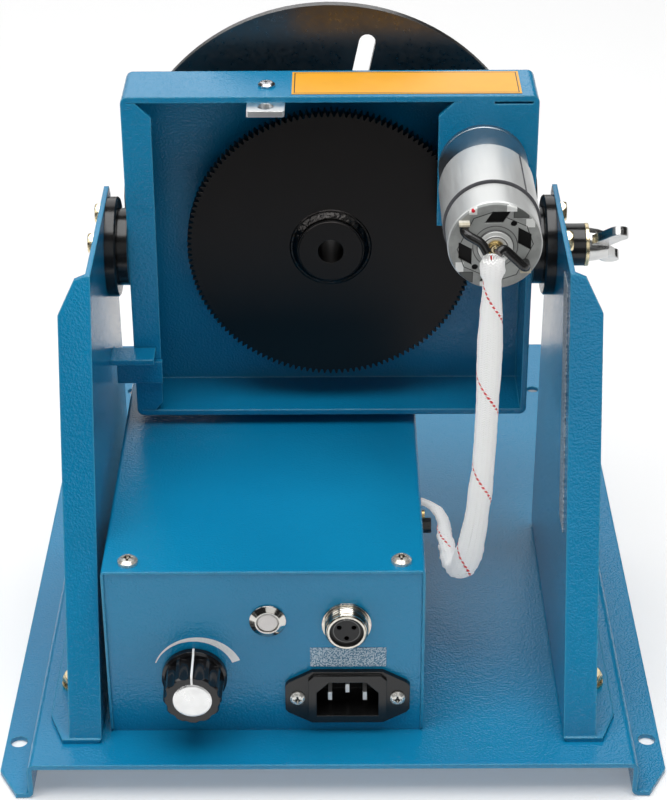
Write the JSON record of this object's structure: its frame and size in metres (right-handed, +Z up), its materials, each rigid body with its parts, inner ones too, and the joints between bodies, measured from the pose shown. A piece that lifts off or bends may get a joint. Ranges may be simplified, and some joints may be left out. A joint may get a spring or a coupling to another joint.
{
  "type": "welding positioner",
  "caption": "Bench welding positioner: geared motor turns a slotted round table held in a tilting box between two uprights, with a control box on a folded base.",
  "frame": {"origin": "floor centre of the four base mounting holes", "axes": "+X along the tilt axis toward the wing nut, +Y toward the table side, +Z up"},
  "size_m": [0.2694, 0.355, 0.265],
  "materials": {
    "blue_paint": "gloss",
    "black_steel": "satin",
    "zinc_gold": "satin",
    "zinc_plate": "satin",
    "table_steel": "satin",
    "bearing_steel": "polished",
    "gearbox_metal": "satin",
    "can_metal": "satin",
    "cap_plastic": "satin",
    "brass": "satin",
    "aluminium": "satin",
    "black_plastic": "satin",
    "nickel": "polished",
    "graphite": "matt",
    "board_green": "satin",
    "component": "satin",
    "label_orange": "satin",
    "label_silver": "satin",
    "sleeve_braid": "matt",
    "wire_black": "satin"
  },
  "bodies": {
    "base": {"base_plate": "blue_paint", "left_upright": "blue_paint", "right_upright": "blue_paint", "foot_bolts": "zinc_gold", "foot_washers": "zinc_gold", "foot_nuts": "zinc_gold", "left_bush": "black_steel", "right_bush": "black_steel", "pivot_bolts": "zinc_gold", "pivot_washers": "zinc_gold", "wing_washer": "zinc_gold", "stop_bar": "blue_paint", "upright_label": "label_silver", "control_chassis": "blue_paint", "control_cover": "blue_paint", "cover_screws": "black_steel", "chassis_screws": "zinc_plate", "earth_screw": "brass", "power_inlet": "black_plastic", "inlet_pins": "brass", "inlet_screws": "zinc_plate", "pedal_socket": "nickel", "power_switch": "nickel", "potentiometer": "black_plastic", "front_label": "label_silver", "power_board": "board_green", "board_parts": "component", "standoffs": "zinc_plate", "motor_lead_sleeve": "sleeve_braid"},
    "box": {"tilt_box": "blue_paint", "stop_tab": "blue_paint", "left_stub": "black_steel", "right_stub": "black_steel", "circlip": "black_steel", "bearing_housing": "table_steel", "bearings": "bearing_steel", "housing_screws": "zinc_plate", "gearbox": "gearbox_metal", "motor_can": "can_metal", "motor_cap": "cap_plastic", "motor_bearing": "brass", "motor_terminals": "nickel", "motor_wires": "wire_black", "motor_screws": "zinc_plate", "cable_terminal": "aluminium", "terminal_screw": "zinc_plate", "brush_holder": "zinc_plate", "ground_brush": "graphite", "top_label": "label_orange"},
    "spindle": {"spindle": "black_steel", "spindle_spacer": "table_steel", "spur_gear": "black_steel", "table": "table_steel", "table_screws": "zinc_plate"},
    "pinion": {"pinion": "zinc_plate"},
    "wing_nut": {"wing_nut": "zinc_plate"},
    "speed_knob": {"speed_knob": "black_plastic", "knob_cap": "nickel", "pot_shaft": "nickel"},
    "power_button": {"power_button": "black_plastic"}
  },
  "joints": [
    {"name": "tilt", "type": "hinge", "parent": "base", "child": "box", "pos_m": [0, -0.0335, 0.175], "axis": [1, 0, 0], "range_deg": [0, 90], "deforming": ["motor_lead_sleeve"]},
    {"name": "spindle_turn", "type": "hinge", "parent": "box", "child": "spindle", "pos_m": [0, 0, 0.175], "axis": [0, 1, 0], "continuous": true},
    {"name": "pinion_turn", "type": "hinge", "parent": "box", "child": "pinion", "pos_m": [0.05604, 0, 0.21062], "axis": [0, 1, 0], "continuous": true},
    {"name": "wing_nut_turn", "type": "hinge", "parent": "box", "child": "wing_nut", "pos_m": [0.11, -0.0335, 0.175], "axis": [1, 0, 0], "continuous": true},
    {"name": "speed_knob_turn", "type": "hinge", "parent": "base", "child": "speed_knob", "pos_m": [-0.0548, -0.16, 0.0438], "axis": [0, 1, 0], "range_deg": [-150, 150]},
    {"name": "power_button_press", "type": "slide", "parent": "base", "child": "power_button", "axis": [0, 1, 0], "range_m": [0, 0.0015], "stiffness_N_per_m": 400, "springref_m": -0.002}
  ],
  "couplings": [
    {"joint": "pinion_turn", "follows": "spindle_turn", "ratio": -8.2222}
  ]
}
